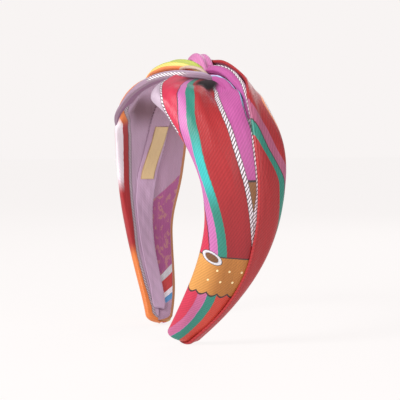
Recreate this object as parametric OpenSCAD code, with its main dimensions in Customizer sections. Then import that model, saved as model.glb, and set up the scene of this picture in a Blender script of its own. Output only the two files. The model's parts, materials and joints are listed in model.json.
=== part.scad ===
/* [Head arc] */
// Radius of the lining's inner face over the crown
arc_r = 60; // [58:1:62]
// Angle from the crown at which the crown arc meets the straighter leg arc
crown_deg = 83; // [80:1:86]
// Radius of the leg arc, measured at the lining's inner face
leg_r = 100; // [90:2:120]
// Angle from the crown at which each leg ends
tip_deg = 133; // [128:1:135]

/* [Pose of the legs] */
// How far the tips lean towards the forehead
tip_sweep = 12.5; // [0:0.5:16]
// How much further forward the right tip sits than the middle of the two tips
tip_twist = 7.5; // [0:0.5:9]
// Turn of each leg about its own length, front edge towards the head
leg_toe = 19; // [0:1:22]
// Extra droop of the cover's front edge at the shoulders, in degrees
shoulder_droop = 12; // [0:1:14]

/* [Core band] */
// Width of the core band at the crown
core_w = 20; // [16:1:24]
// Width of the core band at the tips
core_tip_w = 9; // [7:1:10]
// Thickness of the core band
core_t = 1.8; // [1.4:0.2:2]

/* [Cover] */
// Thickness of the gathered cover cloth
cloth_t = 0.9; // [0.8:0.1:1]
// Width of the lap where the back panel lies over the front panel
lap_w = 5; // [3:1:6]
// Height of the covered band at the shoulders, over the lining's inner face
shoulder_h = 13.5; // [12:0.5:15]

/* [Lining] */
// Width of the lining ribbon over the crown
ribbon_w = 12; // [11:0.5:13]
// Width of the lining ribbon at the tips
ribbon_tip_w = 9; // [8:0.5:10]
// Angle from the crown over which the ribbon is a true arc of the crown radius
arc_deg = 62; // [58:1:64]
// How far the ribbon runs ahead of the band's middle on the legs
ribbon_shift = 4.5; // [0:0.5:5]

/* [Label] */
// Width of the label
label_w = 8.4; // [7:0.2:9]
// Angle from the crown at the label's upper end
label_top_deg = 56; // [55:0.5:57]
// Angle from the crown at the label's lower end
label_low_deg = 86; // [80:1:90]

/* [Knot] */
// Width of the crossing loop from the left cover
under_w = 10; // [8:0.5:11]
// Height of the crossing loop from the left cover
under_h = 5.6; // [4:0.2:5.8]
// Width of the right cover's loop over the crossing
over_w = 9; // [7:0.5:10]
// Thickness of the right cover's loop
over_t = 2.6; // [2:0.2:3]

/* [Hidden] */

RIGHT = 1;
LEFT = -1;
gap = 0.1;                                   // clearance between neighbouring layers
// Layers, as heights over the lining's inner face
cloth_in_h = 0.9;                            // head side of the turned-in cloth
core_in_h = cloth_in_h + cloth_t + gap;      // head side of the core band
core_out_h = core_in_h + core_t;             // outer side of the core band
edge_h = 3;                                  // middle of the folded front and back edges
ribbon_out_h = 0.8;                          // outer side of the ribbon on the legs
label_pocket_h = 0.3;                        // depth of the ribbon's dip under the label
// Lengths along the lining's inner face, from the crown to each tip
crown_len = arc_r * crown_deg * PI / 180;
leg_len = leg_r * (tip_deg - crown_deg) * PI / 180;
band_len = crown_len + leg_len;
// Shares of that length
knot_end = 0.075;                            // where the panels leave the knot
core_end = 0.975;                            // where the core band stops
foam_end = 0.93;                             // where the foam stops
cap_len = 0.025;                             // rounded end of the cover past the tip
cap_share = 0.88;                            // how far round that end the cloth reaches
sweep_from = 0.45;                           // where the legs start to lean forward
twist_from = 0.6;                            // where the two legs start to part
toe_from = 0.5;                              // where the legs start to toe in
toe_over = 0.2;                              // length over which they do
toe_ease_from = 0.7;                         // where the toe starts to ease again
toe_ease = 0.2;                              // share of it lost by the tip
droop_from = 0.08;                           // where the shoulders start to droop
droop_over = 0.15;                           // length over which they do
droop_end = 0.5;                             // where the droop starts to fade
droop_fade = 0.2;                            // length over which it does
// Angles from the crown for the ribbon's way along the legs
shift_over_deg = 35;                         // past the crown arc, until it is fully shifted
shift_back_deg = 105;                        // where it starts to come back
shift_back_over = 28;                        // until it is back
shift_back = 0.6;                            // share of the shift it gives back
// Cover outline from the knot to the tip, at even steps
front_right = [14, 33, 33, 27, 21.5, 17.5, 15, 12.5, 9.2];
front_left = [14, 27.5, 28, 24, 20.5, 17, 14.5, 12, 9];
back_half = [11, 15.5, 19.5, 22.5, 21.5, 19.5, 17, 13.5, 8.8];
dome = [6.2, 12, shoulder_h, 12.6, 12, 11.2, 9.4, 8.2, 7];
pleat = [9, 13, 6, 4, 5, 8.5, 10.5, 9, 4];   // distance of the back panel's fold from the middle
// Shift that centres the whole part on the origin, with both tips on the ground
frame_y = 6;
frame_z = arc_r + 20.1;

function smooth(x) = let (c = min(max(x, 0), 1)) c * c * (3 - 2 * c);
function mix(a, b, x) = a + (b - a) * x;
// Value at share x of a list with even steps, on a smooth curve through every entry
function along(list, x) =
    let (n = len(list) - 1,
         p = min(max(x, 0), 0.9999) * n,
         i = floor(p),
         f = p - i,
         p1 = list[i],
         p2 = list[i + 1],
         p0 = i > 0 ? list[i - 1] : 2 * p1 - p2,
         p3 = i < n - 1 ? list[i + 2] : 2 * p2 - p1)
    p1 + 0.5 * f * (p2 - p0 + f * (2 * p0 - 5 * p1 + 4 * p2 - p3 + f * (3 * (p1 - p2) + p3 - p0)));

// Angle from the crown at share u of the band's length, and the share at an angle
function deg_at(u) =
    u * band_len < crown_len ? u * band_len / arc_r * 180 / PI
                             : crown_deg + (u * band_len - crown_len) / leg_r * 180 / PI;
function share_at(deg) =
    (deg < crown_deg ? arc_r * deg : crown_len * 180 / PI + leg_r * (deg - crown_deg))
    * PI / 180 / band_len;
function sweep_y(u, side) =
    -tip_sweep * pow(max(0, (u - sweep_from) / (1 - sweep_from)), 2)
    - side * tip_twist * smooth((u - twist_from) / (1 - twist_from));
function toe_at(u) =
    leg_toe * smooth((u - toe_from) / toe_over)
    * (1 - toe_ease * smooth((u - toe_ease_from) / (1 - toe_ease_from)));
function droop_at(u) =
    shoulder_droop * smooth((u - droop_from) / droop_over)
    * (1 - smooth((u - droop_end) / droop_fade));

// Point at share u, distance a towards the back, height h over the lining's inner face.
// Both sides are built as the right one, and the left is mirrored.
function place(u, side, a, h) =
    let (deg = deg_at(u),
         toe = toe_at(u),
         far = arc_r - leg_r,
         r = deg < crown_deg ? arc_r : leg_r,
         cx = deg < crown_deg ? 0 : far * sin(crown_deg),
         cz = deg < crown_deg ? 0 : far * cos(crown_deg),
         out = r + h * cos(toe) + a * sin(toe))
    [cx + out * sin(deg),
     sweep_y(u, side) + a * cos(toe) - h * sin(toe) + frame_y,
     cz + out * cos(deg) + frame_z];

// Cover section: turn 0 is the back edge, 90 the top, 180 the front edge, 270 the head side.
// Layer is the distance outside the cover's outer face.
function step(u) = (u - knot_end) / (1 - knot_end);
function cap(u) = u <= 1 ? 1 : sqrt(1 - pow((u - 1) / cap_len, 2));
function half_w(u, side, turn) =
    along(cos(turn) > 0 ? back_half : side == RIGHT ? front_right : front_left, step(u)) * cap(u);
function cover_a(u, side, turn, layer) = (half_w(u, side, turn) + layer) * cos(turn);
function cover_h(u, turn, layer) =
    sin(turn) >= 0 ? edge_h + (along(dome, step(u)) * cap(u) - edge_h * cap(u) + layer) * sin(turn)
                   : edge_h - ((edge_h - cloth_in_h) * cap(u) + layer) * pow(-sin(turn), 0.35);
function cover_point(u, side, turn, layer) =
    let (a = cover_a(u, side, turn, layer),
         past = max(0, abs(a) - core_w / 2) * sign(a),
         droop = droop_at(u))
    place(u, side, a, cover_h(u, turn, layer) + past * tan(droop));
// Turn at which the cover is a given distance from the middle
function turn_at(u, side, a, top) =
    let (w = half_w(u, side, a > 0 ? 0 : 180),
         t = acos(min(max(a / w, -0.99), 0.99)))
    top ? t : 360 - t;

// Solid swept through a list of rings that all have the same number of points
module skin(rings) {
    n = len(rings[0]);
    last = len(rings) - 1;
    polyhedron(
        points = [for (ring = rings) each ring],
        faces = concat(
            [[for (j = [0 : n - 1]) j]],
            [[for (j = [n - 1 : -1 : 0]) last * n + j]],
            [for (i = [0 : last - 1], j = [0 : n - 1])
                let (k = (j + 1) % n) [i * n + k, i * n + j, (i + 1) * n + j]],
            [for (i = [0 : last - 1], j = [0 : n - 1])
                let (k = (j + 1) % n) [i * n + k, (i + 1) * n + j, (i + 1) * n + k]]));
}

module on_side(side) {
    if (side == LEFT) mirror([1, 0, 0]) children();
    else children();
}

// Strip of cloth between two turns of the cover section, closed at its four edges
cloth_steps = 30;
turn_steps = 15;
function stations(from, to, n) = [for (i = [0 : n]) mix(from, to, i / n)];
module panel(side, from_turn, to_turn, lift) {
    rings = [for (u = stations(knot_end, 1 + cap_len * cap_share, cloth_steps))
        let (t0 = from_turn(u), t1 = to_turn(u))
        concat([for (j = [0 : turn_steps]) let (t = mix(t0, t1, j / turn_steps))
                    cover_point(u, side, t, lift(u, t))],
               [for (j = [turn_steps : -1 : 0]) let (t = mix(t0, t1, j / turn_steps))
                    cover_point(u, side, t, lift(u, t) - cloth_t)])];
    on_side(side) skin(rings);
}
tuck = 3.5;                                  // from the ribbon's middle to the turned-in edges
tip_gap = 0.15;                              // the same past the ribbon's end, where they meet
tuck_end = 0.955;                            // where the edges start to close up
tuck_over = 0.03;                            // length over which they do
function tuck_a(u) = mix(tuck, tip_gap, smooth((u - tuck_end) / tuck_over)) * cap(u);
// The ribbon's middle, as a distance from the band's middle towards the back
function ribbon_a(u) =
    let (deg = deg_at(u))
    -ribbon_shift * smooth((deg - arc_deg) / shift_over_deg)
    * (1 - shift_back * smooth((deg - shift_back_deg) / shift_back_over));
function pleat_a(u) = along(pleat, step(u)) * cap(u);
// How far the front panel runs on under the back panel's fold
lap_share = 0.7;                             // at most this share of the width behind the fold
function lap(u) = min(lap_w, lap_share * (half_w(u, RIGHT, 0) - pleat_a(u)));
// The back panel rises over the front panel by one thickness of cloth
rise_deg = 25;                               // turn over which it rises from the back edge
rise_lead = 4;                               // distance past the front panel's edge where it starts
rise_len = 3;                                // length over which it rises there
function lift(u, turn) =
    (cloth_t + gap) * smooth(turn / rise_deg)
    * smooth((pleat_a(u) + lap(u) + rise_lead - cover_a(u, RIGHT, turn, 0)) / rise_len);
module front_panel(side) {
    panel(side, function(u) turn_at(u, side, pleat_a(u) + lap(u), true),
          function(u) turn_at(u, side, ribbon_a(u) - tuck_a(u), false),
          function(u, turn) 0);
}
module back_panel(side) {
    panel(side, function(u) turn_at(u, side, ribbon_a(u) + tuck_a(u), false) - 360,
          function(u) turn_at(u, side, pleat_a(u), true), function(u, turn) lift(u, turn));
}

module core_band() {
    function half(u) = mix(core_w, core_tip_w, smooth(u / core_end)) / 2;
    round_len = 0.02;
    function end(u) =
        sqrt(max(0.04, 1 - pow(max(0, (u - core_end + round_len) / round_len), 2)));
    ring_u = stations(-core_end, core_end, 60);
    color("whitesmoke") skin([for (v = ring_u)
        let (side = v < 0 ? LEFT : RIGHT, u = abs(v), w = half(u) * end(u))
        [for (q = [[-w, core_in_h], [w, core_in_h], [w, core_out_h], [-w, core_out_h]])
            let (p = place(u, side, q[0], q[1])) [side * p[0], p[1], p[2]]]]);
}

module foam_strip() {
    layer = -cloth_t - gap * 2;
    edge_gap = 1.2;
    core_gap = 0.4;
    under = core_in_h;
    over = core_out_h + gap;
    ring_u = stations(-foam_end, foam_end, 52);
    color("gainsboro") skin([for (v = ring_u)
        let (side = v < 0 ? LEFT : RIGHT,
             u = abs(v),
             c = mix(core_w, core_tip_w, smooth(u / core_end)) / 2 + core_gap,
             tan_d = tan(droop_at(u)),
             edges = [for (turn = [180, 0]) half_w(u, side, turn) + layer - edge_gap],
             top = [for (j = [0 : 12]) cover_point(u, side, 180 - j * 15, layer)],
             dip = [[max(edges[1], c + 0.3), under], [c, under], [c, over], [-c, over],
                    [-c, under], [-max(edges[0], c + 0.3), under]],
             low = [for (q = dip)
                 place(u, side, q[0], q[1] + max(0, abs(q[0]) - core_w / 2) * sign(q[0]) * tan_d)])
        [for (p = concat(low, top)) [side * p[0], p[1], p[2]]]]);
}

// Arc of the crown radius about the part's Y direction
module crown_arc(h0, h1, deg0, deg1, width) {
    translate([0, frame_y, frame_z]) rotate([90, 0, 0])
        rotate([0, 0, 90 - deg1]) rotate_extrude(angle = deg1 - deg0, $fn = 96)
            translate([arc_r + h0, -width / 2]) square([h1 - h0, width]);
}

// Flat strip that follows one leg
module leg_strip(side, deg0, deg1, h0, h1, width0, width1, n) {
    on_side(side) skin([for (i = [0 : n])
        let (u = mix(share_at(deg0), share_at(deg1), i / n),
             w = mix(width0, width1, i / n) / 2,
             a = ribbon_a(u))
        [place(u, side, a - w, h0), place(u, side, a + w, h0), place(u, side, a + w, h1),
         place(u, side, a - w, h1)]]);
}

module lining_ribbon() {
    leg_in_h = label_pocket_h + 0.06;
    start_deg = arc_deg - 1;
    end_deg = deg_at(core_end);
    color("thistle") {
        difference() {
            crown_arc(0, ribbon_out_h + 0.05, -arc_deg, arc_deg, ribbon_w);
            crown_arc(-1, label_pocket_h, -arc_deg - 1, 0.5 - label_top_deg, label_w + 0.6);
        }
        for (side = [RIGHT, LEFT])
            leg_strip(side, start_deg, end_deg, leg_in_h, ribbon_out_h, ribbon_w - 0.2,
                      ribbon_tip_w, 24);
    }
}

module label() {
    color("burlywood") leg_strip(LEFT, label_top_deg, label_low_deg, 0.03, label_pocket_h - 0.02,
                                 label_w, label_w, 12);
}

module right_front_panel() { color("indianred") front_panel(RIGHT); }
module right_back_panel() { color("firebrick") back_panel(RIGHT); }
module left_front_panel() { color("sandybrown") front_panel(LEFT); }
module left_back_panel() { color("palevioletred") back_panel(LEFT); }

// The two loops cross at right angles to each other, turned from the band's own directions
cross_deg = 22;
under_mid_h = 8;
over_top_h = 13.6;
over_low_h = 6.4;
over_reach = 7.7;
function crossed(x, y, h) =
    [x * cos(cross_deg) - y * sin(cross_deg),
     x * sin(cross_deg) + y * cos(cross_deg) + frame_y,
     arc_r + h + frame_z];

module left_knot_loop() {
    panel_gap = 0.8;
    half_len = knot_end * band_len - panel_gap;
    end_sag = 1.6;
    end_taper = 0.25;
    color("gold") skin([for (i = [-8 : 8])
        let (x = half_len * i / 8, sag = end_sag * pow(i / 8, 2),
             s = 1 - end_taper * pow(i / 8, 4))
        [for (t = [0 : 20 : 340])
            crossed(x, s * under_w / 2 * cos(t), under_mid_h - sag + s * under_h / 2 * sin(t))]]);
}

module right_knot_loop() {
    rise = over_top_h - over_low_h;
    color("orchid") skin([for (i = [0 : 18])
        let (t = 180 * i / 18)
        [for (k = [0 : 20 : 340])
            let (x = over_w / 2 * sign(cos(k)) * pow(abs(cos(k)), 0.5),
                 d = over_t / 2 * sin(k))
            crossed(x, (over_reach + d) * cos(t), over_low_h + (rise + d) * sin(t))]]);
}

// Short thread bars that tie the two loops together, two on each flank of the crossing
module knot_tacks() {
    thread_r = 0.35;
    thread_len = 3;
    tack_x = 2.4;
    tack_y = under_w / 2 + thread_r + gap * 1.5;
    color("white") for (x = [-tack_x, tack_x], y = [-tack_y, tack_y])
        translate(crossed(x, y, under_mid_h)) rotate([0, 90, cross_deg])
            cylinder(r = thread_r, h = thread_len, center = true, $fn = 24);
}

core_band();
foam_strip();
lining_ribbon();
label();
right_front_panel();
right_back_panel();
left_front_panel();
left_back_panel();
right_knot_loop();
left_knot_loop();
knot_tacks();
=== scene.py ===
import json
import math
import bpy
import numpy as np
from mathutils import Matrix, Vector


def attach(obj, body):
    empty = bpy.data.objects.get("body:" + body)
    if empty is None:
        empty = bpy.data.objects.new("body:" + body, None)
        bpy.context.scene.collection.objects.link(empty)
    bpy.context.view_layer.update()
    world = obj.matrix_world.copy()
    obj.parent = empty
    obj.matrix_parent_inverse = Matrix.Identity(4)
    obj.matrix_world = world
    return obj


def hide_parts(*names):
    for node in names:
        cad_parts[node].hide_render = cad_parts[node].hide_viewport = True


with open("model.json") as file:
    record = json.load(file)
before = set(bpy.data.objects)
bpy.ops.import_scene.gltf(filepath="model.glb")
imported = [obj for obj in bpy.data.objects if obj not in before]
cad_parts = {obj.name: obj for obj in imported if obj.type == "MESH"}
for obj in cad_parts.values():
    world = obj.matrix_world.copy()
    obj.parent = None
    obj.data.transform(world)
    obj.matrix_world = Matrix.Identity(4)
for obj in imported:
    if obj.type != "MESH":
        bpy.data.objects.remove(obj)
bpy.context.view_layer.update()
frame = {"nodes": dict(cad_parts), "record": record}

# All lengths are in mm, and MM turns them into the scene's metres. A place on the band is u, from 0 at
# the crown to 1 at a tip; s = u * BAND is the same in mm. side is 1 on the right leg and -1 on the left.
# a runs across the band towards the back, and h away from the head. A section's turn is 0 at the back
# edge, 90 degrees on top, 180 at the front edge and 270 on the head side.
MM = 0.001

# Half widths, dome height and lap position, at even steps from the knot's end to the tip.
FRONT_RIGHT = [14, 33, 33, 27, 21.5, 17.5, 15, 12.5, 9.2]
FRONT_LEFT = [14, 27.5, 28, 24, 20.5, 17, 14.5, 12, 9]
BACK = [11, 15.5, 19.5, 22.5, 21.5, 19.5, 17, 13.5, 8.8]
DOME = [6.2, 12, 13.5, 12.6, 12, 11.2, 9.4, 8.2, 7]
PLEAT = [9, 13, 6, 4, 5, 8.5, 10.5, 9, 4]

mount = [m for m in frame["record"]["mounts"] if m["name"] == "head_arc"][0]
CENTRE = np.array(mount["pos_m"]) / MM
ARC_R = mount["dims"]["r_mm"]
LEG_R = 100.0                     # radius of the band's curve down a leg
CROWN = math.radians(83)          # turn of the crown arc, on each side
LEG = math.radians(50)            # turn of a leg
CROWN_LEN = ARC_R * CROWN
BAND = CROWN_LEN + LEG_R * LEG    # length from the crown to a tip
TOE = math.radians(19)            # twist that toes the legs in
SWEEP = 12.5                      # how far both tips swing forward
SKEW = 7.5                        # how far one tip stands in front of the middle, and the other behind
DROOP = math.radians(12)
FLAT_HALF = 10                    # half of the part of the cover that does not droop
PINCH = 1.6                       # how much lower the cover lies under the knot
KNOT_END = 0.075                  # u at which the cover comes out of the knot
TIP_LEN = 0.025                   # u over which the tip is rounded off
EDGE_H = 3.0                      # height of the cover's edges over the head side
CLOTH_IN_H = 0.9                  # height of the turned-in cloth, over the ribbon
LAP = 4.5                         # how far the front sheet goes on under the back sheet
TURNED_IN = 3.5                   # where the turned-in edges end, from the ribbon's middle
RED_WIDE = 17                     # print width of the field between the teal stripe and the cord
RIBBON_HALF = 6
RIBBON_END = 0.988                # u at which the ribbon ends
ROLL_SEAM = -2                    # angle in radians at which a roll's print starts
PRINT_HALF = 18                   # print mm for half a turn round a roll


def smooth(x):
    """0 to 1 with soft ends."""
    c = np.clip(x, 0, 1)
    return c * c * (3 - 2 * c)


def fade(x, start, end):
    """1 before start, 0 past end, with soft ends."""
    return 1 - smooth((x - start) / (end - start))


def hump(x, width):
    """A smooth bump of height 1 about 0."""
    return np.exp(-(x / width) ** 2)


def along(values, x):
    """A smooth curve through evenly spaced values, read at x from 0 to 1."""
    v = np.asarray(values, float)
    n = len(v) - 1
    p = np.clip(x, 0, 0.9999) * n
    i = np.floor(p).astype(int)
    f = p - i
    e = np.concatenate([[2 * v[0] - v[1]], v, [2 * v[-1] - v[-2]]])
    a, b, c, d = e[i], e[i + 1], e[i + 2], e[i + 3]
    return b + 0.5 * f * (c - a + f * (2 * a - 5 * b + 4 * c - d + f * (3 * (b - c) + d - a)))


def step(u):
    """Where u lies between the knot's end (0) and the tip (1)."""
    return (u - KNOT_END) / (1 - KNOT_END)


def cap(u):
    """Rounds off the tip, past u = 1."""
    past = np.clip((u - 1) / TIP_LEN, 0, 0.999)
    return np.sqrt(1 - past ** 2)


def band_angle(u):
    """Direction of the band at u, in radians from the crown."""
    s = u * BAND
    return np.where(s < CROWN_LEN, s / ARC_R, CROWN + (s - CROWN_LEN) / LEG_R)


def place(u, side, a, h):
    """The point in mm at u along the band, a across it and h above its inner face."""
    angle = band_angle(u)
    toe = TOE * smooth((u - 0.5) / 0.2) * (1 - 0.2 * smooth((u - 0.7) / 0.3))
    on_leg = angle >= CROWN
    r = np.where(on_leg, LEG_R, ARC_R)
    far = (ARC_R - LEG_R) * on_leg
    out = r + h * np.cos(toe) + a * np.sin(toe)
    y = -SWEEP * np.maximum(0, (u - 0.45) / 0.55) ** 2 - side * SKEW * smooth((u - 0.6) / 0.4)
    return np.stack([
        side * (far * math.sin(CROWN) + out * np.sin(angle)),
        y + a * np.cos(toe) - h * np.sin(toe),
        far * math.cos(CROWN) + out * np.cos(angle),
    ], -1) + CENTRE


def half_width(u, side, turn):
    """How far the cover reaches from the band's middle, to the back or the front."""
    front = along(FRONT_RIGHT if side > 0 else FRONT_LEFT, step(u))
    return np.where(np.cos(turn) > 0, along(BACK, step(u)), front) * cap(u)


def droop(u):
    """Slope by which the cover falls off beyond its flat middle."""
    return np.tan(DROOP * smooth((u - 0.08) / 0.15) * (1 - smooth((u - 0.5) / 0.2)))


def cover(u, side, turn, rise=0.0, spread=0.0):
    """A point on the cover's surface, raised by rise and moved across by spread."""
    c = cap(u)
    rise = rise - PINCH * fade(u * BAND, 6, 15) * np.maximum(0, np.sin(turn))
    a = half_width(u, side, turn) * np.cos(turn)
    sn = np.sin(turn)
    top = EDGE_H + (along(DOME, step(u)) * c - EDGE_H * c) * sn
    low = EDGE_H - ((EDGE_H - CLOTH_IN_H) * c) * np.maximum(1e-9, -sn) ** 0.35
    past = np.maximum(0, np.abs(a) - FLAT_HALF) * np.sign(a)
    return place(u, side, a + spread, np.where(sn >= 0, top, low) + past * droop(u) + rise)


def lengths(points, turn, zero):
    """Distance along each row of points, 0 where the row passes the given turn."""
    seg = np.linalg.norm(np.diff(points, axis=1), axis=2)
    q = np.concatenate([np.zeros((len(points), 1)), np.cumsum(seg, 1)], 1)
    sign = -1 if turn[0, -1] < turn[0, 0] else 1
    start = [np.interp(sign * zero, sign * t, row) for t, row in zip(turn, q)]
    return q - np.array(start)[:, None]


def ribbon_a(u):
    """The ribbon's middle, as a distance from the band's middle towards the back."""
    deg = np.degrees(band_angle(u))
    return -4.5 * smooth((deg - 62) / 35) * (1 - 0.6 * smooth((deg - 105) / 28))


def inner_turn(u, side, edge):
    """Turn of the section at the turned-in edge, on the head side under the ribbon."""
    a = ribbon_a(u) + edge * cap(u) * (1 - 0.95 * smooth((u - 0.955) / 0.03))
    w = np.where(a > 0, half_width(u, side, 0.0), half_width(u, side, math.pi))
    return 2 * math.pi - np.arccos(np.clip(a / w, -0.99, 0.99))


# ------------------------------------------------------------------ materials

def lin(rgb):
    """An 8-bit sRGB colour as a linear RGBA colour."""
    out = [((c / 255 + 0.055) / 1.055) ** 2.4 if c > 10 else c / 255 / 12.92 for c in rgb]
    return (*out, 1.0)


class Paint:
    """A cloth, thread or plastic material, with sockets made by short calls."""

    def __init__(self, name, rough=0.5, sheen=0.1, tint=(255, 240, 245), specular=0.4):
        self.mat = bpy.data.materials.new(name)
        self.mat.use_nodes = True
        self.nodes = self.mat.node_tree.nodes
        self.links = self.mat.node_tree.links
        self.shader = self.nodes["Principled BSDF"]
        self.shader.inputs["Roughness"].default_value = rough
        self.shader.inputs["Sheen Weight"].default_value = sheen
        self.shader.inputs["Sheen Roughness"].default_value = 0.4
        self.shader.inputs["Sheen Tint"].default_value = lin(tint)
        self.shader.inputs["Specular IOR Level"].default_value = specular

    def put(self, socket, value):
        if isinstance(value, bpy.types.NodeSocket):
            self.links.new(value, socket)
        else:
            socket.default_value = value

    def math(self, kind, a, b=0.0, c=0.0):
        n = self.nodes.new("ShaderNodeMath")
        n.operation = kind
        for socket, value in zip(n.inputs, (a, b, c)):
            self.put(socket, value)
        return n.outputs[0]

    def add(self, a, b):
        return self.math("ADD", a, b)

    def sub(self, a, b):
        return self.math("SUBTRACT", a, b)

    def mul(self, a, b):
        return self.math("MULTIPLY", a, b)

    def div(self, a, b):
        return self.math("DIVIDE", a, b)

    def magnitude(self, a):
        return self.math("ABSOLUTE", a)

    def line(self, x, slope, start):
        return self.math("MULTIPLY_ADD", x, slope, start)

    def squares(self, a, b):
        return self.add(self.mul(a, a), self.mul(b, b))

    def uv(self, layer):
        n = self.nodes.new("ShaderNodeUVMap")
        n.uv_map = layer
        s = self.nodes.new("ShaderNodeSeparateXYZ")
        self.links.new(n.outputs[0], s.inputs[0])
        return s.outputs[0], s.outputs[1]

    def above(self, x, edge, soft=0.15):
        """1 where x is past the edge, 0 before it, softened over soft on each side."""
        n = self.nodes.new("ShaderNodeMapRange")
        n.interpolation_type = "SMOOTHSTEP"
        self.put(n.inputs["Value"], self.sub(x, edge))
        n.inputs["From Min"].default_value = -soft
        n.inputs["From Max"].default_value = soft
        n.inputs["To Min"].default_value = 0.0
        n.inputs["To Max"].default_value = 1.0
        return n.outputs[0]

    def below(self, x, edge, soft=0.15):
        return self.sub(1.0, self.above(x, edge, soft))

    def between(self, x, low, high, soft=0.15):
        return self.sub(self.above(x, low, soft), self.above(x, high, soft))

    def mix(self, fac, a, b, kind="MIX"):
        n = self.nodes.new("ShaderNodeMix")
        n.data_type = "RGBA"
        n.blend_type = kind
        self.put(n.inputs[0], fac)
        self.put(n.inputs[6], lin(a) if isinstance(a, tuple) else a)
        self.put(n.inputs[7], lin(b) if isinstance(b, tuple) else b)
        return n.outputs[2]

    def noise(self, vector, scale, detail=2.0, rough=0.5):
        n = self.nodes.new("ShaderNodeTexNoise")
        n.inputs["Scale"].default_value = scale
        n.inputs["Detail"].default_value = detail
        n.inputs["Roughness"].default_value = rough
        self.links.new(vector, n.inputs["Vector"])
        return n.outputs["Fac"]

    def vector(self, x, y, z=0.0):
        n = self.nodes.new("ShaderNodeCombineXYZ")
        for socket, value in zip(n.inputs, (x, y, z)):
            self.put(socket, value)
        return n.outputs[0]

    def stripes(self, v, bands):
        """Bands of (start in mm, colour), hard edged, along v."""
        lo, hi = bands[0][0] - 1.0, bands[-1][0] + 1.0
        n = self.nodes.new("ShaderNodeValToRGB")
        ramp = n.color_ramp
        ramp.interpolation = "CONSTANT"
        ramp.elements.remove(ramp.elements[1])
        ramp.elements[0].position = 0.0
        ramp.elements[0].color = lin(bands[0][1])
        for start, colour in bands[1:]:
            e = ramp.elements.new((start - lo) / (hi - lo))
            e.color = lin(colour)
        self.put(n.inputs[0], self.div(self.add(v, -lo), hi - lo))
        return n.outputs[0]

    def rope(self, colour, s, v, middle, half=1.15, dark=(92, 80, 78), light=(240, 228, 236), on=1.0):
        """A twisted cord printed along s: pale strands cut by slanting dark strokes, dark outlines."""
        pitch, slant, outline, soft = 1.85, 1.1, 0.3, 0.12
        off = self.sub(v, middle)
        flat = self.magnitude(off)
        inside = self.below(flat, half, soft)
        edge = self.below(flat, half + outline, soft)
        strokes = self.math("FRACT", self.div(self.add(s, self.mul(off, slant)), pitch))
        strand = self.mix(self.between(strokes, 0.26, 0.62, 0.08), light, dark)
        colour = self.mix(self.mul(edge, on), colour, dark)
        return self.mix(self.mul(inside, on), colour, strand)

    def threads(self, s, v, slope, pitch):
        """A wave across the slanting threads of a weave."""
        return self.math("SINE", self.mul(self.add(s, self.mul(v, slope)), 2 * math.pi / pitch))

    def cloth(self, colour, s, v, twill=1.8, depth=0.2, wrinkle=0.5, matte=None):
        """Twill lines, cloudy dye and fine wrinkles over a print, then the shader."""
        line = self.threads(s, v, 1.0, twill)
        cross = self.threads(s, v, -0.7, 0.62)
        weave = self.add(self.mul(line, 0.5), self.mul(cross, 0.2))
        cloud = self.noise(self.vector(self.mul(s, 0.02), self.mul(v, 0.09)), 3.0, 3.0)
        shade = self.add(self.mul(weave, depth), self.add(self.mul(cloud, 0.22), 0.89))
        full = self.mix(1.0, colour, self.vector(shade, shade, shade), "MULTIPLY")
        self.links.new(full, self.shader.inputs["Base Color"])
        creases = self.noise(self.vector(self.mul(s, 0.035), self.mul(v, 0.2)), 3.0, 4.0, 0.55)
        b = self.nodes.new("ShaderNodeBump")
        b.inputs["Strength"].default_value = 0.7
        b.inputs["Distance"].default_value = 0.12 * MM
        self.links.new(self.add(self.mul(weave, 0.35), self.mul(creases, 6.0 * wrinkle)), b.inputs["Height"])
        self.links.new(b.outputs[0], self.shader.inputs["Normal"])
        rough = self.line(cloud, 0.2, 0.34)
        if matte is not None:
            rough = self.math("MAXIMUM", rough, matte)
        self.links.new(rough, self.shader.inputs["Roughness"])
        return self.mat

    def grain(self, scale, detail, first, second):
        """A finely mottled colour that needs no UV layer, for thread and plastic."""
        coord = self.nodes.new("ShaderNodeTexCoord")
        fleck = self.noise(coord.outputs["Object"], scale, detail)
        self.links.new(self.mix(fleck, first, second), self.shader.inputs["Base Color"])
        return self.mat


RED = (166, 42, 46)
RED_PINK = (200, 50, 78)
ORCHID = (194, 108, 168)
TEAL = (48, 130, 114)
PINK = (182, 86, 150)
KNOB = (206, 126, 176)
MAUVE = (172, 92, 122)
LILAC = (190, 160, 186)
BROWN = (136, 92, 58)
OCHRE = (176, 112, 52)
ORANGE = (240, 140, 84)
YELLOW = (248, 208, 116)
LIME = (192, 202, 96)
DARK = (60, 48, 50)
WHITE = (240, 230, 238)
CYAN = (120, 214, 236)
PALE_BLUE = (196, 204, 238)

# In the prints below, s is mm from the crown along the leg, v is mm across it from the print's own zero
# line, and q is mm from the front edge.
PATCH_TOP = 126.0       # s of the dotted tab's upper edge
PATCH_LOW = 144.0       # s of its lower edge
BELOW_PATCH = 140.0     # s behind the tab at which the red stripe turns orange and the orchid stripe turns mauve, with painted shade
PINK_END = 90.0         # s at which the pink between the two cords turns brown


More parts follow.
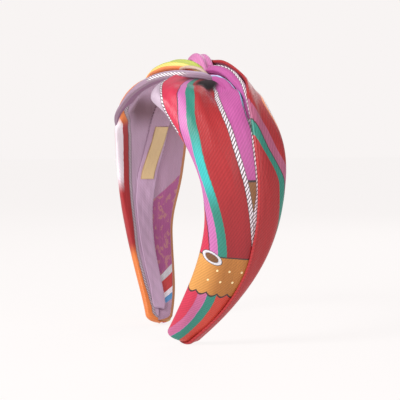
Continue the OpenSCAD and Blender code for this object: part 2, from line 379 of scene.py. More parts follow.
def right_front_paint():
    p = Paint("silk_right_front")
    s, v = p.uv("print")
    _, q = p.uv("lay")
    base = p.stripes(v, [
        (-60, RED_PINK), (-26.6, DARK), (-26.2, ORCHID), (-21.9, DARK), (-21.7, TEAL),
        (-17.0, DARK), (-16.8, RED), (0, PINK), (10.3, DARK), (10.6, PALE_BLUE),
        (11.9, DARK), (12.2, PINK), (19.5, DARK), (19.8, RED), (60, RED),
    ])
    # Painted sheen: part way down the leg the teal stripe is lightened towards cyan, where the silk catches
    # the light.
    teal_painted_sheen = p.mul(p.between(v, -21.7, -17.0), p.mul(p.between(s, 70, 96, 10), 0.75))
    base = p.mix(teal_painted_sheen, base, (60, 196, 196))
    base = p.mix(p.mul(p.between(v, 10.3, 12.1), p.below(s, 54, 6)), base, CYAN)
    # Painted shade: the red field darkens down the lower leg, which is turned from the light.
    red_painted_shade = p.mul(p.above(v, -16.8), p.mul(p.above(s, 104, 34), 0.5))
    base = p.mix(red_painted_shade, base, (122, 22, 36))
    base = p.mix(p.mul(p.above(v, 0.5), p.above(s, PINK_END, 0.3)), base, BROWN)
    base = p.mix(p.mul(p.above(v, 1.0), p.between(s, PINK_END - 0.8, PINK_END + 0.2)), base, DARK)
    # Below the tab the orchid stripe is printed a duller mauve, and darkened as painted shade of the lower
    # leg.
    orchid_mauve_and_shade = p.mul(p.between(v, -26.2, -21.9), p.above(s, BELOW_PATCH, 0.3))
    base = p.mix(orchid_mauve_and_shade, base, (190, 98, 140))
    base = p.mix(p.mul(p.above(v, -16.8), p.above(s, BELOW_PATCH, 0.3)), base, (202, 66, 52))
    base = right_hem(p, base, s, q)
    base = p.rope(base, s, v, 0.0, on=p.below(s, 122, 0.3))
    base = p.mix(p.mul(p.between(v, 10.1, 12.4), p.above(s, 68, 1.5)), base, PINK)
    second = p.math("MINIMUM", p.math("MAXIMUM", p.line(s, -0.36, 40.0), 1.6), p.line(s, -0.215, 26.2))
    base = p.rope(base, s, p.sub(v, second), 0.0, 1.0, on=p.between(s, 62, 122))
    base = p.rope(base, s, v, 18.0, 1.3, on=p.below(s, 70))
    base = ochre_patch(p, base, s, q)
    # Painted shadow: dark red where the sheet runs in under the far cover's fold at the knot.
    base = p.mix(p.mul(p.mul(p.below(s, 28, 3.5), p.above(q, 13, 4.5)), 0.9), base, (50, 20, 28))
    # Painted shade: a near-black oval deepens the recess beside the knot, where the sheet goes under the
    # crossing; the same mask makes the cloth matte there.
    across, down = p.div(p.sub(q, 30.5), 6.6), p.div(p.sub(s, 33.0), 9.0)
    hollow = p.below(p.squares(across, down), 0.8, 0.5)
    base = p.mix(hollow, base, (10, 4, 8))
    return p.cloth(base, s, v, matte=hollow)


def right_hem(p, base, s, q):
    """A pale hem with a fine cord, which bulges in from the front edge below the knot."""
    off = p.div(p.sub(s, 34.0), 9.0)
    reach = p.mul(p.math("EXPONENT", p.mul(p.mul(off, off), -1.0)), 7.4)
    hem = p.sub(reach, q)
    on = p.mul(p.below(s, 62), p.above(q, -3.0, 0.5))
    base = p.mix(p.mul(p.above(hem, 0.0), on), base, (184, 164, 180))
    return p.rope(base, s, hem, 0.0, 0.4, on=on)


def ochre_patch(p, base, s, q):
    """A pale-dotted tab with a scalloped lower edge and a plain oval ring, printed on the lower leg."""
    scallop, soft, outline_width = 5.5, 0.2, 0.9
    wave = p.mul(p.magnitude(p.math("SINE", p.mul(q, math.pi / scallop))), 1.6)
    low = p.sub(p.sub(s, wave), PATCH_LOW)
    inside = p.mul(p.above(s, PATCH_TOP, soft), p.below(low, 0.0, soft))
    outline = p.mul(p.above(s, PATCH_TOP - 0.6, soft), p.below(low, outline_width, soft))
    base = p.mix(outline, base, DARK)
    base = p.mix(inside, base, p.mix(p.below(q, 11.0, 6.0), OCHRE, (214, 150, 78)))
    spacing = 3.2
    for row, shift in ((132.5, 0.0), (138.0, spacing)):
        near = p.math("PINGPONG", p.add(q, shift), spacing)
        dot = p.mul(p.below(p.squares(near, p.sub(s, row)), 0.32, 0.12), p.above(q, 8.5))
        base = p.mix(dot, base, (246, 222, 170))
    across = p.sub(q, 8.6)
    tilted = p.sub(s, p.line(across, 0.3, PATCH_TOP + 0.6))
    ring = p.math("SQRT", p.squares(p.div(across, 5.4), p.div(tilted, 2.7)))
    base = p.mix(p.between(ring, 0.62, 1.1, 0.04), base, DARK)
    base = p.mix(p.between(ring, 0.7, 1.02, 0.04), base, (214, 210, 216))
    return p.mix(p.below(ring, 0.62, 0.03), base, (118, 78, 48))


def right_back_paint():
    p = Paint("silk_right_back")
    s, v = p.uv("print")
    base = p.stripes(v, [
        (-60, RED), (-0.3, DARK), (0, TEAL), (3.6, DARK), (3.9, MAUVE), (9.6, DARK),
        (9.8, RED), (19, DARK), (19.3, ORANGE), (21, WHITE), (22.2, DARK), (22.5, ORCHID),
        (26, DARK), (26.3, TEAL), (29.5, DARK), (29.8, RED_PINK), (42, DARK), (42.3, LILAC),
        (80, LILAC),
    ])
    return p.cloth(base, s, v)


def left_front_paint():
    p = Paint("silk_left_front")
    s, v = p.uv("print")
    base = p.stripes(v, [
        (-60, LILAC), (0.5, DARK), (0.7, RED), (4.4, WHITE), (9.2, DARK), (9.4, RED),
        (10, (210, 100, 84)), (11, ORANGE), (16, YELLOW), (20, DARK), (20.3, LIME),
        (26, (120, 126, 60)), (26.8, WHITE), (29, DARK), (29.3, ORCHID), (36, DARK),
        (36.3, TEAL), (40, DARK), (40.3, RED), (80, RED),
    ])
    base = p.mix(p.mul(p.between(v, 0.7, 9), p.above(s, 94, 6)), base, RED)
    ends = p.mul(p.between(v, 0.7, 12), p.sub(1.0, p.between(s, 50, 134, 5)))
    base = p.mix(p.mul(ends, 0.9), base, (226, 128, 62))
    # Painted shade in the dent on the head side near the knot.
    dent = p.mul(p.below(p.magnitude(p.sub(s, 46.0)), 10, 9), p.below(v, -3.0, 4.0))
    base = p.mix(p.mul(dent, 0.85), base, (104, 68, 76))
    base = p.rope(base, s, v, 0.0, 0.7, light=(196, 180, 192), dark=(112, 98, 106))
    return p.cloth(base, s, v, depth=0.1, wrinkle=0.9)


def left_back_paint():
    p = Paint("silk_left_back")
    s, v = p.uv("print")
    base = p.stripes(v, [
        (-60, (178, 142, 168)), (-3.5, (182, 118, 76)), (0.5, ORANGE), (3, WHITE), (4.5, DARK),
        (4.8, PINK), (12, DARK), (12.3, TEAL), (15.5, DARK), (15.8, RED), (24, DARK),
        (24.3, YELLOW), (28, DARK), (28.3, RED_PINK), (80, RED_PINK),
    ])
    inner = p.below(v, -3.5)
    # Painted shade: the head side of the cover is darker near the knot, fading out down the leg.
    base = p.mix(p.mul(inner, p.below(s, 62, 26)), base, (128, 92, 100))
    slant = p.add(s, p.mul(v, 0.9))
    bloom = p.noise(p.vector(p.mul(s, 0.16), p.mul(v, 0.16)), 1.3, 4.0, 0.65)
    flower = p.mul(p.between(bloom, 0.55, 0.66, 0.03), 0.45)
    field = p.mul(inner, p.between(slant, 86, 138, 0.5))
    base = p.mix(field, base, p.mix(flower, (168, 84, 138), (206, 156, 120)))
    for low, high, tint in ((138, 143, (206, 204, 210)), (143, 152, (196, 60, 62)),
                            (152, 156, WHITE), (156, 160.5, (88, 150, 202))):
        base = p.mix(p.mul(inner, p.between(slant, low, high)), base, tint)
    return p.cloth(base, s, v, depth=0.1, wrinkle=0.9)


def striped(name, bands, rope_at=None, rope_from=-9, rope_to=999, half=1.15):
    """The print of a roll in the knot. rope_at is the middle of a cord line, in print mm."""
    p = Paint(name)
    s, v = p.uv("print")
    colour = p.stripes(v, bands)
    if rope_at is not None:
        stretch = 0.6
        on = p.between(s, rope_from, rope_to, 3)
        colour = p.rope(colour, p.mul(s, 0.8), p.mul(v, stretch), rope_at * stretch, half, on=on)
    return p.cloth(colour, s, v)


# --------------------------------------------------------------------- meshes

def grid_object(name, points, lay, paint, thick=0.5, closed=False, offset=-1.0):
    """A sheet from a grid of points in mm; lay is {layer: (u, v) grids}, also in mm."""
    rows, cols = points.shape[:2]
    i = np.arange(rows * cols).reshape(rows, cols)
    if closed:
        i = np.concatenate([i, i[:, :1]], 1)
    quads = np.stack([i[:-1, :-1], i[1:, :-1], i[1:, 1:], i[:-1, 1:]], -1).reshape(-1, 4)
    mesh = bpy.data.meshes.new(name)
    mesh.from_pydata((points.reshape(-1, 3) * MM).tolist(), [], quads.tolist())
    corner = np.empty(len(mesh.loops), dtype=np.int64)
    mesh.loops.foreach_get("vertex_index", corner)
    for layer, (a, b) in lay.items():
        flat = np.stack([a.ravel(), b.ravel()], -1)[corner]
        if closed:
            turn = len(quads) // (rows - 1)
            last = np.repeat(np.arange(len(quads)) % turn == turn - 1, 4)
            wrap = last & (corner % cols == 0)
            flat[wrap, 1] += float(b[0, -1] + b[0, 1] - 2 * b[0, 0])
        uv = mesh.uv_layers.new(name=layer)
        uv.data.foreach_set("uv", flat.astype(np.float32).ravel())
    mesh.polygons.foreach_set("use_smooth", [True] * len(mesh.polygons))
    mesh.materials.append(paint)
    mesh.validate()
    obj = link(name, mesh)
    if thick:
        m = obj.modifiers.new("thickness", "SOLIDIFY")
        m.thickness = thick * MM
        m.offset = offset
    return obj


def link(name, data):
    obj = bpy.data.objects.new(name, data)
    bpy.context.scene.collection.objects.link(obj)
    return obj


def finish_piece(obj, slot, *nodes):
    """Fixes a piece to the part's body, in place of the CAD nodes it stands for."""
    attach(obj, "root")
    if nodes:
        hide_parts(*nodes)
    return obj


def rows_u():
    """Stations from inside the knot to the tip, closer together round the tip's end."""
    leg = np.linspace(0.006, 0.996, 234)
    tip = 1 + TIP_LEN * np.sin(np.linspace(0, math.pi / 2, 18))
    return np.concatenate([leg, tip])[:, None]


def front_grid(side):
    """Stations, mm from the crown, turns and mm from the front edge, for a front sheet."""
    u = rows_u()
    t = np.linspace(0, 1, 150)[None, :]
    lap = along(PLEAT, step(u)) * cap(u) + LAP
    end = np.arccos(np.clip(lap / half_width(u, side, 0.0), 0, 0.98))
    start = inner_turn(u, side, -TURNED_IN)
    turn = start + (end - start) * t
    u = u + 0 * t
    return u, u * BAND, turn, lengths(cover(u, side, turn), turn, math.pi)


def teal_line(s):
    """Distance from the front edge at which the teal stripe ends."""
    s = np.maximum(s, 38)
    up = 13 * np.maximum(0, (88 - s) / 44) ** 2
    near_tip = 5 * np.maximum(0, (s - 145) / 23) ** 2
    return 6.5 + up - 0.8 * hump(s - 80, 14) + 10 * smooth((s - 86) / 46) - near_tip


def rope_line(s):
    """Distance from the front edge at which the cord line runs."""
    s = np.maximum(s, 42)
    return 24.2 + np.where(s < 82, 9, 5) * np.minimum(1.2, np.abs(s - 82) / 38) ** 2


def squeeze(s):
    """How much narrower than at its full spread the front sheet is, close to the knot."""
    return 0.6 + 0.4 * smooth((s - 8) / 22)


def right_front():
    """The near leg's front sheet, with two pleats and the hollow where it goes under the knot."""
    u, s, turn, q = front_grid(1)
    k = squeeze(s)
    tl, rl = teal_line(s) * k, rope_line(s) * k
    fan = 0.45 + 0.55 * smooth((s - 36) / 12)
    lines = [
        (0 * s, 0 * s),
        (tl * 0.6, -6.0 * fade(s, 22, 44)),
        (tl + 2, -8.0 * fade(s, 24, 48)),
        (rl, -8.5 * fade(s, 34, 66) - 0.5 * fade(s, 60, 110)),
        (rl + 10.5 * fan, -8.0 * fade(s, 28, 52) + 1.2 * hump(s - 64, 16)),
        (rl + 12.4 * fan, -8.0 * fade(s, 28, 56) - 1.0 * fade(s, 54, 78)),
        (rl + 15.5 * fan, -7.0 * fade(s, 28, 56)),
        (rl + 21 * fan, -6.0 * fade(s, 28, 66)),
    ]
    rise = lines[0][1]
    for (qa, ra), (qb, rb) in zip(lines, lines[1:]):
        rise = rise + (rb - ra) * smooth((q - qa) / np.maximum(0.5, qb - qa))
    rise = rise + 0.3 * np.sin(q * 0.8 + s * 0.11) * fade(s, 30, 90) * smooth(q / 6)
    rise = rise + 0.25 * np.sin(q * 0.45 - s * 0.09 + 1.0) * smooth(q / 6) * smooth((s - 60) / 30)
    rise = rise * smooth((np.sin(turn) + 0.02) / 0.25)
    c = cap(u)
    dome = (along(DOME, step(u)) * c - EDGE_H * c) * np.maximum(0, np.sin(turn)) + EDGE_H
    over_core = 4.5 + 2.0 * smooth((s - 22) / 14)
    rise = np.maximum(rise, np.minimum(0, over_core - dome))
    spread = -5.0 * hump(s - 33, 9) * smooth(-np.cos(turn))
    points = cover(u, 1, turn, rise=rise, spread=spread)
    before_teal = -RED_WIDE + (q - tl) / (0.6 + 0.4 * smooth((s - 32) / 12))
    v = np.where(q < tl, before_teal, np.where(q < rl, -RED_WIDE * (rl - q) / (rl - tl), (q - rl) / fan))
    return finish_piece(grid_object(
        "right_front_silk", points, {"print": (s, v), "lay": (s, q)}, right_front_paint()),
        "print_right", "right_front_panel")


def back_sheet(side, name, paint, slot, node):
    """A leg's back sheet, whose free edge folds back under itself over the front sheet."""
    u = rows_u()
    s = u * BAND
    cols_top, cols_fold, cols_tuck = 104, 12, 6
    t = np.linspace(0, 1, cols_top)[None, :]
    hw = half_width(u, side, 0.0)
    pleat = along(PLEAT, step(u)) * cap(u)
    end = np.arccos(np.clip(pleat / hw, 0, 0.97))
    start = inner_turn(u, side, TURNED_IN) - 2 * math.pi
    turn = start + (end - start) * t
    phi = np.linspace(0, math.pi, cols_fold)[None, :]
    fold_a = pleat - 0.75 * np.sin(phi)
    tuck_a = pleat + np.linspace(0.6, 4.2, cols_tuck)[None, :]
    turn2 = np.arccos(np.clip(np.concatenate([fold_a, tuck_a], 1) / hw, -0.2, 0.98))
    up2 = np.concatenate([0.85 + 0.6 * np.cos(phi) + 0 * pleat, 0.25 + 0 * tuck_a], 1)
    near = smooth((np.degrees(turn) - 40) / 30)
    up1 = 0.35 * smooth(np.sin(turn) * 4) + 1.1 * near
    turn = np.concatenate([turn, turn2], 1)
    rise = np.concatenate([up1, up2], 1)
    u, s = u + 0 * turn, s + 0 * turn
    seg = lengths(cover(u, side, turn), turn, 0.0)
    q = seg[:, cols_top - 1:cols_top] - seg
    tall = 5.0 * fade(s, 12, 40) + 0.6 * hump(s - 60, 30) * hump(q - 2, 3)
    rise = rise + tall * smooth((np.sin(turn) + 0.1) / 0.6)
    ripple = 0.35 * np.sin(q * 0.55 + s * 0.05) * fade(s, 20, 120) + 0.3 * np.sin(q * 0.4 - s * 0.07)
    rise = rise + ripple * smooth(np.sin(turn) / 0.3) * smooth((q - 1.5) / 4)
    points = cover(u, side, turn, rise=rise)
    if side > 0:
        v = q - (12 * smooth((s - 69) / 23) - 7 * smooth((s - 108) / 46) - 11 * fade(s, 50, 74))
    else:
        v = seg
    return finish_piece(grid_object(name, points, {"print": (s, v)}, paint), slot, node)


def left_front():
    """The far leg's front sheet, with a dent and a curled lip on its head side by the knot."""
    u, s, turn, q = front_grid(-1)
    dent = 3.4 * hump(s - 43, 12) * hump(q + 11.5, 5) + 1.2 * hump(s - 25, 7) * hump(q + 7, 3)
    lip = -3.6 * smooth((s - 22) / 16) * fade(s, 49, 62) * hump(q + 4.2, 4.6)
    rise = (dent + lip) * smooth(-np.sin(turn) * 3)
    top = 0.4 * np.sin(q * 0.6 + s * 0.06) * fade(s, 20, 110) - 2.5 * fade(s, 18, 40) * hump(q - 14, 5)
    rise = rise + top * smooth(np.sin(turn) / 0.3)
    points = cover(u, -1, turn, rise=rise)
    stations = [0, 30, 40, 52, 62, 84, 108, 136, 156, 170]
    v = q + np.interp(s, stations, [0, 0.6, 2.6, 7.6, 9.2, 8.2, 6.0, 3.0, 3.2, 4.4])
    return finish_piece(grid_object(
        "left_front_silk", points, {"print": (s, v)}, left_front_paint()),
        "print_left", "left_front_panel")


def path_points(path, count):
    """Even steps along a smooth curve through the rows of path, which keep all their columns."""
    p = np.asarray(path, float)
    t = np.linspace(0, 1, count)
    return np.stack([along(p[:, k], t) for k in range(p.shape[1])], -1), t


def roll(name, path, paint, folds=3, depth=0.15, phase=0.0, up=(0, 0, 1), rows=72, cols=72, slide=(0, 0)):
    """A gathered roll of cloth, closed at both ends.

    path: x and z from the arc's centre, y, side radius, up radius and tilt in degrees. folds and depth
    give the gathers; slide turns the print round the roll, in mm, from its start to its end.
    """
    pts, t = path_points(path, rows)
    way = np.gradient(pts[:, :3], axis=0)
    way /= np.linalg.norm(way, axis=1, keepdims=True)
    side = np.cross(way, np.array(up, float))
    side /= np.linalg.norm(side, axis=1, keepdims=True)
    over = np.cross(side, way)
    phi = np.linspace(ROLL_SEAM, ROLL_SEAM + 2 * math.pi, cols, endpoint=False)[None, :]
    tilt = np.radians(pts[:, 5])[:, None]
    ends = np.sqrt(np.clip(1 - np.abs(2 * t - 1) ** 16, 0.001, 1))[:, None]
    ra, rb = pts[:, 3][:, None] * ends, pts[:, 4][:, None] * ends
    ring = 1 + depth * np.cos(folds * phi + phase) * np.clip(rb / 2.5, 0.4, 1)
    ring = ring + 0.04 * np.cos(7 * phi + 5 * t[:, None])
    x, y = ra * np.cos(phi) * ring, rb * np.sin(phi) * ring
    xr, yr = x * np.cos(tilt) - y * np.sin(tilt), x * np.sin(tilt) + y * np.cos(tilt)
    grid = pts[:, None, :3] + xr[..., None] * side[:, None] + yr[..., None] * over[:, None]
    grid = grid + CENTRE * (1, 0, 1)
    dist = np.concatenate([[0], np.cumsum(np.linalg.norm(np.diff(pts[:, :3], axis=0), axis=1))])
    s = dist[:, None] + 0 * phi
    v = phi * PRINT_HALF / math.pi - along(slide, t)[:, None]
    return grid_object(name, grid, {"print": (s, v)}, paint, thick=0.0, closed=True)


def loft(name, first, second, paint, sag=2.2, rows=90, cols=24):
    """A gathered sheet stretched between two smooth curves, sinking between them."""
    a, b = path_points(first, rows)[0], path_points(second, rows)[0]
    w = np.linspace(0, 1, cols)[None, :, None]
    grid = a[:, None] * (1 - w) + b[:, None] * w
    fold = 0.5 * np.sin(w * 9 + np.linspace(0, 5, rows)[:, None, None])
    grid[..., 2:] -= (sag + fold) * np.sin(math.pi * w)
    s = np.linspace(0, 80, rows)[:, None] + 0 * w[..., 0]
    return grid_object(name, grid + CENTRE * (1, 0, 1), {"print": (s, 14 * w[..., 0] + 0 * s)}, paint)


def right_loop():
    """The right cover's loop over the crossing, and its fold over the back edge."""
    wrap = roll(
        "right_knot_wrap",
        [(14, 9.5, 57, 2.2, 4.2, 0), (11.5, 9, 64, 2.7, 4.4, 0), (7, 8.6, 69.4, 2.8, 4.5, 0),
         (1.2, 8.4, 71.4, 2.8, 4.5, 0), (-5, 8.4, 69, 2.8, 4.6, 0), (-9.5, 8.2, 63.5, 2.6, 4.6, 0),
         (-12, 8, 57, 2.2, 4.2, 0)],
        striped("silk_knot_wrap", [
            (-12, KNOB), (-6, (222, 150, 190)), (0, KNOB), (6, (222, 150, 190)), (8, KNOB), (26, KNOB)]),
        folds=5, depth=0.16, phase=0.6, up=(0, 1, 0))
    tail = roll(
        "right_knot_tail",
        [(2.5, 8, 68.5, 1.4, 5.0, 0), (2.4, 12.6, 69.0, 1.9, 6.0, 0), (2, 16.6, 67.6, 2.0, 6.6, 0),
         (1.6, 19.4, 64.6, 1.7, 6.8, 0), (1.2, 19.4, 61.6, 1.0, 6.4, 0), (1, 15, 60.7, 0.5, 5.2, 0)],
        striped("silk_knot_tail", [
            (-12, RED), (-6, DARK), (-5.7, KNOB), (-1, DARK), (-0.7, RED), (14, DARK), (14.3, KNOB),
            (26, RED)]),
        folds=5, depth=0.1, phase=0.2, up=(1, 0, 0))
    return wrap, tail


def right_pleats():
    """Two pleats of the right cover that run from the crossing down the leg."""
    low = roll(
        "right_pleat_low",
        [(16, 3, 58.0, 2.2, 2.0, 0), (24, 5, 59.2, 2.4, 2.3, 0), (31, 6.5, 58.4, 2.5, 2.4, 0),
         (38, 7.5, 55.6, 2.5, 2.4, 0), (44, 7.8, 52.2, 2.4, 2.3, 0), (50, 7.6, 48.2, 2.1, 2.0, 0),
         (57, 7.0, 42, 1.6, 1.4, 0)],
        # The deep magenta band runs round the roll's underside: painted shade.
        striped("silk_pleat_low", [
            (-24, PINK), (0.2, (150, 190, 232)), (1.4, PALE_BLUE), (4.2, DARK), (4.4, PINK),
            (14, (140, 46, 100)), (26, PINK)]),
        folds=2, depth=0.04, slide=(-0.5, 0.5, 4.5, 9.0, 10.5, 10.5, 10.5))
    high = roll(
        "right_pleat_high",
        [(18, 5.5, 63.8, 2.4, 2.2, 0), (26, 8.8, 64.0, 3.0, 2.7, 0), (34, 11.2, 61.6, 3.1, 2.8, 0),
         (41, 12.2, 57.6, 2.9, 2.6, 0), (47.3, 12.6, 53.2, 2.5, 2.3, 0), (53.5, 12.0, 47.4, 2.1, 2.0, 0),
         (59.5, 11.2, 40.2, 1.8, 1.6, 0), (65, 10.4, 31, 1.2, 1.0, 0)],
        # The darker magenta band runs round the roll's underside: painted shade.
        striped("silk_pleat_high", [
            (-20, PINK), (6, PINK), (18, (150, 56, 112)), (26, PINK)], rope_at=6.0, half=1.2),
        folds=2, depth=0.05, slide=(0, 2, 3.6, 4.0, 3.4, 2.6, 1.6, 0.6))
    return low, high


def left_loop():
    """The left cover's loop under the crossing: two rolls, a web, a long fold in front and its edge."""
    bundle = roll(
        "left_knot_bundle",
        [(-40, -7, 50.4, 2.4, 0.8, 0), (-31, -6.6, 57.0, 4.4, 2.2, 4), (-22, -6.2, 61.6, 6.4, 3.8, 8),
         (-12, -5, 63.5, 8.2, 4.4, 14), (-1, -2.5, 65.6, 7.4, 4.6, 16), (8, 2, 65.4, 5.6, 3.6, 10),
         (14, 7, 61, 4, 2.6, 0)],
        striped("silk_knot_bundle", [
            (-12, RED), (-4.4, ORANGE), (-1.0, YELLOW), (1.2, LIME), (7.2, (140, 142, 64)), (8.0, LIME),
            (13, WHITE), (16, ORCHID), (26, ORCHID)]),
        folds=4, depth=0.07, phase=0.3)
    rear = roll(
        "left_knot_rear",
        [(-38, 15, 51.8, 3.4, 0.9, 0), (-32, 15, 55.8, 6, 2.3, 0), (-25, 14.2, 59.4, 6.6, 3.3, 0),
         (-14, 12.5, 63.4, 6.6, 4.2, 0), (-1, 11, 66, 6, 4.4, 0), (11, 11.5, 63.6, 5, 3.6, 0),
         (21, 13, 57, 4, 2.4, 0)],
        striped("silk_knot_rear", [
            (-12, PINK), (-6, ORCHID), (5, PINK), (9, DARK), (9.3, TEAL), (12, DARK), (12.3, RED),
            (20, DARK), (20.3, WHITE), (22, PINK), (26, PINK)]),
        folds=4, depth=0.08, phase=1.3)
    web = loft(
        "left_knot_web",
        [(-38, -12, 48), (-26, -13, 55.5), (-13, -11.5, 61.2), (-1, -8.5, 63.8), (8, -3, 64.4),
         (17, 2, 61.4)],
        [(-45, -20.5, 37), (-33, -21.2, 46.5), (-20, -20.5, 53.6), (-6, -18, 58.2), (7, -15.5, 60.2),
         (17, -11, 61), (23, -6, 60.6)],
        # Painted shade: the web is darkest along its edge under the bundle and palest where it meets the
        # long fold.
        striped("silk_knot_web", [(0, (150, 116, 134)), (5, (158, 128, 146)), (14, (168, 140, 160))]))
    bar = roll(
        "left_knot_fold",
        [(-49.5, -19.4, 31.5, 0.7, 0.4, 0), (-46, -20.4, 36, 2.6, 1.2, -5),
         (-40.5, -21.2, 41.4, 4.0, 1.8, -12), (-33, -21.5, 46.5, 4.2, 1.9, -20),
         (-20, -20.5, 53.8, 4.2, 2.4, -20), (-6, -18, 58.4, 3.6, 2.5, -10), (7, -15.5, 60.6, 2.8, 2.5, 0),
         (17, -11.5, 61.4, 2.5, 2.4, 0), (24, -6.5, 61.0, 2.4, 2.4, 0), (27.5, 0.5, 60, 2.2, 2.2, 0),
         (28, 6, 57, 2, 1.8, 0)],
        # Lit and shaded copies of the lilac round the long fold: palest along its top, with painted shade on
        # its underside.
        striped("silk_knot_fold", [
            (-12, (140, 100, 132)), (-5, (158, 130, 150)), (3, (178, 156, 176)), (15, (158, 130, 156)),
            (26, MAUVE)],
            rope_at=1.2, half=1.3, rope_from=57, rope_to=83),
        folds=3, depth=0.06)
    edge = roll(
        "left_knot_edge",
        [(6, -5, 65, 1.0, 0.9, 0), (15, -3.5, 65.6, 1.1, 1.0, 0), (22, 0.5, 64.0, 1.1, 1.0, 0),
         (25, 4, 60, 1.0, 0.9, 0)],
        striped("silk_knot_edge", [(-12, (206, 180, 160)), (20, RED), (26, RED)]),
        folds=2, depth=0.05, rows=40, cols=28)
    return bundle, rear, web, bar, edge


def knot():
    """The knot, as gathered rolls of both covers that pass over and under each other."""
    wrap, tail = right_loop()
    bundle, rear, web, bar, edge = left_loop()
    low, high = right_pleats()
    finish_piece(wrap, "print_right", "right_knot_loop")
    finish_piece(bundle, "print_left", "left_knot_loop")
    for piece in (rear, web, bar, edge):
        finish_piece(piece, "print_left")
    for piece in (tail, low, high):
        finish_piece(piece, "print_right")


def ribbon_half(u):
    """Half of the ribbon's width, which narrows down the legs."""
    return RIBBON_HALF - 1.5 * smooth((u - 0.5) / 0.45)


def both_sides(w, a, h):
    """Points for w from -1 at the left tip to 1 at the right tip."""
    u = np.abs(w) + 0 * a
    return np.where((w < 0)[..., None], place(u, -1, a, h), place(u, 1, a, h))


def lining():
    """The cloth ribbon glued along the head side, from tip to tip, and the label on it."""
    w = np.linspace(-RIBBON_END, RIBBON_END, 360)[:, None]
    t = np.linspace(-1, 1, 25)[None, :]
    u = np.abs(w) + 0 * t
    s = w * BAND + 0 * t
    a = ribbon_half(u) * (1 - 0.25 * smooth((u - 0.965) / 0.023)) * t
    crease = 0.34 * np.sin((s + a * 1.3) * 0.55) * hump(t, 0.9) + 0.1 * np.sin(s * 0.23 - a * 0.8)
    h = 0.1 - 0.12 * (1 - t ** 4) + crease * 0.5
    p = Paint("satin_lining", rough=0.4, sheen=0.4)
    along_s, across = p.uv("print")
    # Painted shade: the ribbon darkens near the crown, fading out down both legs.
    shade = p.mul(p.below(p.magnitude(along_s), 54, 26), 0.8)
    colour = p.mix(shade, (192, 160, 188), (132, 98, 108))
    ribbon = grid_object(
        "lining_ribbon_cloth", both_sides(w, a + ribbon_a(u), h), {"print": (s, a)},
        p.cloth(colour, along_s, across, depth=0.06), thick=0.4, offset=0.0)
    finish_piece(ribbon, "lining_cloth", "lining_ribbon")

    half, stitched = 4.2, 3.7
    arc = np.linspace(math.radians(55), math.radians(87), 60)[:, None]
    a = half * np.linspace(-1, 1, 17)[None, :]
    u = arc * ARC_R / BAND + 0 * a
    h = -0.55 - 0.12 * np.sin(arc * 9) * (a / half) + 0.1 * (a / half) ** 2
    points = place(u, -1, a + ribbon_a(u) + 1.6 * fade(arc, 0.96, 1.5), h)
    p = Paint("label_satin", rough=0.35, sheen=0.3, specular=0.5)
    along_s, across = p.uv("print")
    colour = p.mix(p.above(p.magnitude(across), stitched), (216, 188, 140), (188, 152, 104))
    label = grid_object(
        "label_cloth_tag", points, {"print": (u * BAND, a + 0 * u)},
        p.cloth(colour, along_s, across, twill=0.5, depth=0.04, wrinkle=0.3), thick=0.25)
    finish_piece(label, "label_cloth", "label")
    return ribbon, label


def foam():
    """The soft strip over the core that fills out the dome of the cover."""
    w = np.linspace(-0.94, 0.94, 200)[:, None]
    phi = np.linspace(0, 2 * math.pi, 32, endpoint=False)[None, :]
    u = np.abs(w) + 0 * phi
    thin = np.sqrt(np.clip(1 - np.abs(w / 0.945) ** 14, 0, 1))
    a = (9.3 - 4.6 * smooth((u - 0.4) / 0.6)) * thin * np.cos(phi)
    thick_up = 0.2 + 1.4 * smooth((u * BAND - 30) / 14)
    h = 4.0 + thin * np.where(np.sin(phi) > 0, thick_up * np.sin(phi), 0.25 * np.sin(phi))
    p = Paint("foam_open_cell", rough=0.95, sheen=0.1, specular=0.1)
    s, v = p.uv("print")
    colour = p.mix(p.noise(p.vector(s, v), 1.6, 3.0), (206, 196, 178), (240, 232, 214))
    obj = grid_object(
        "foam_pad", both_sides(w, a, h), {"print": (w * BAND + 0 * phi, phi * 3 + 0 * w)},
        p.cloth(colour, s, v, depth=0.02), thick=0.0, closed=True)
    finish_piece(obj, "foam", "foam_strip")


def stitches():
    """Small hand stitches that hold the ribbon's edges to the cover."""
    verts, faces = [], []
    sides = 6
    rings = ((0, 0.05), (0.25, 0.16), (0.75, 0.16), (1, 0.05))
    circle = [(math.cos(k * math.pi / 3), math.sin(k * math.pi / 3)) for k in range(sides)]
    for side in (-1, 1):
        for n in range(4, 70):
            u = n / 72
            wide = float(ribbon_half(u))
            for edge in (-1, 1):
                shift = float(ribbon_a(np.array(u)))
                start = place(np.array(u), side, np.array(edge * (wide - 0.5) + shift), np.array(-0.22))
                end = place(np.array(u + 0.004), side, np.array(edge * (wide + 0.6) + shift), np.array(0.35))
                way = (end - start) / np.linalg.norm(end - start)
                x = np.cross(way, (0.3, 0.5, 0.8))
                x /= np.linalg.norm(x)
                y = np.cross(way, x)
                first = len(verts)
                for f, r in rings:
                    for cx, cy in circle:
                        verts.append(tuple((start + (end - start) * f + (x * cx + y * cy) * r) * MM))
                last = first + (len(rings) - 1) * sides
                for k in range(first, last, sides):
                    for j in range(sides):
                        a, b = k + j, k + (j + 1) % sides
                        faces.append((a, b, b + sides, a + sides))
                faces.append(tuple(first + j for j in range(sides - 1, -1, -1)))
                faces.append(tuple(last + j for j in range(sides)))
    mesh = bpy.data.meshes.new("lining_stitches")
    mesh.from_pydata(verts, [], faces)
    thread = Paint("sewing_thread", rough=0.5, sheen=0.2)
    mesh.materials.append(thread.grain(2600.0, 2.0, (176, 140, 170), (214, 186, 208)))
    finish_piece(link("lining_stitches", mesh), "thread")


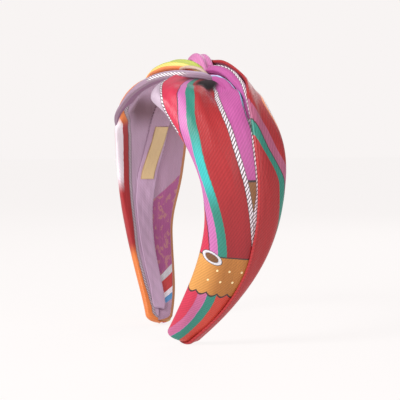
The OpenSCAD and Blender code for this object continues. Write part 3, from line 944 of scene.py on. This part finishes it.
def hard_parts():
    """Materials for the two CAD nodes that stay as they are."""
    core = Paint("core_plastic", rough=0.42, sheen=0.0, specular=0.5)
    tack = Paint("tack_thread", rough=0.55, sheen=0.3)
    for node, mat in (("core_band", core.grain(300.0, 4.0, (34, 34, 38), (48, 47, 50))),
                      ("knot_tacks", tack.grain(1800.0, 2.0, (150, 60, 80), (196, 96, 116)))):
        for slot in frame["nodes"][node].material_slots:
            slot.material = mat


right = right_front()
right_b = back_sheet(1, "right_back_silk", right_back_paint(), "print_right", "right_back_panel")
left = left_front()
left_b = back_sheet(-1, "left_back_silk", left_back_paint(), "print_left", "left_back_panel")
knot()
ribbon, label = lining()
foam()
stitches()
hard_parts()

# ---------------------------------------------------------- stage, light, camera

FLOOR_HALF = 6.0
FLOOR_Z = -0.001
floor_mesh = bpy.data.meshes.new("floor")
floor_mesh.from_pydata([(-FLOOR_HALF, -FLOOR_HALF, FLOOR_Z), (FLOOR_HALF, -FLOOR_HALF, FLOOR_Z),
                        (FLOOR_HALF, FLOOR_HALF, FLOOR_Z), (-FLOOR_HALF, FLOOR_HALF, FLOOR_Z)],
                       [], [(0, 1, 2, 3)])
floor = link("floor", floor_mesh)
floor_mat = bpy.data.materials.new("pale_floor")
floor_mat.use_nodes = True
floor_shader = floor_mat.node_tree.nodes["Principled BSDF"]
floor_shader.inputs["Base Color"].default_value = (0.10, 0.098, 0.098, 1)
floor_shader.inputs["Roughness"].default_value = 1.0
floor_shader.inputs["Specular IOR Level"].default_value = 0.0
floor_shader.inputs["Emission Color"].default_value = (1.0, 0.965, 0.955, 1)
floor_shader.inputs["Emission Strength"].default_value = 0.89
floor_mesh.materials.append(floor_mat)

# The camera sees a pale backdrop, and the object is lit by a dimmer one.
world = bpy.data.worlds.new("pale")
world.use_nodes = True
tree = world.node_tree
backdrop = tree.nodes["Background"]
backdrop.inputs[0].default_value = lin((248, 244, 243))
glow = tree.nodes.new("ShaderNodeBackground")
glow.inputs[0].default_value = (1.0, 0.95, 0.95, 1)
glow.inputs[1].default_value = 0.36
blend = tree.nodes.new("ShaderNodeMixShader")
path = tree.nodes.new("ShaderNodeLightPath")
tree.links.new(path.outputs["Is Camera Ray"], blend.inputs[0])
tree.links.new(glow.outputs[0], blend.inputs[1])
tree.links.new(backdrop.outputs[0], blend.inputs[2])
tree.links.new(blend.outputs[0], tree.nodes["World Output"].inputs[0])
bpy.context.scene.world = world


def area_light(name, where, aim, size, power):
    """A square lamp with sides of size metres, turned towards aim."""
    data = bpy.data.lights.new(name, "AREA")
    data.size = size
    data.energy = power
    obj = link(name, data)
    obj.location = where
    obj.rotation_euler = (aim - Vector(where)).to_track_quat("-Z", "Y").to_euler()


middle = Vector((0, 0, 0.08))
area_light("key", (0.25, -0.85, 0.65), middle, 0.35, 10.4)
area_light("fill", (0.95, 0.15, 0.45), middle, 0.5, 2.6)
area_light("rim", (-0.5, 0.6, 0.6), middle, 0.5, 2.2)

azimuth, elevation, distance = math.radians(65.6), math.radians(2.73), 0.7076
back = Vector((math.sin(azimuth) * math.cos(elevation), -math.cos(azimuth) * math.cos(elevation),
               math.sin(elevation)))
cam_data = bpy.data.cameras.new("camera")
cam_data.lens = 114.2
cam_data.sensor_width = 36.0
cam_data.clip_start = 0.05
cam_data.clip_end = 30
cam = link("camera", cam_data)
cam.location = Vector(mount["pos_m"]) + Vector((0, 0.004, -0.007)) + back * distance
cam.rotation_mode = "QUATERNION"
cam.rotation_quaternion = back.to_track_quat("Z", "Y")
bpy.context.scene.camera = cam
bpy.context.scene.view_settings.view_transform = "Standard"
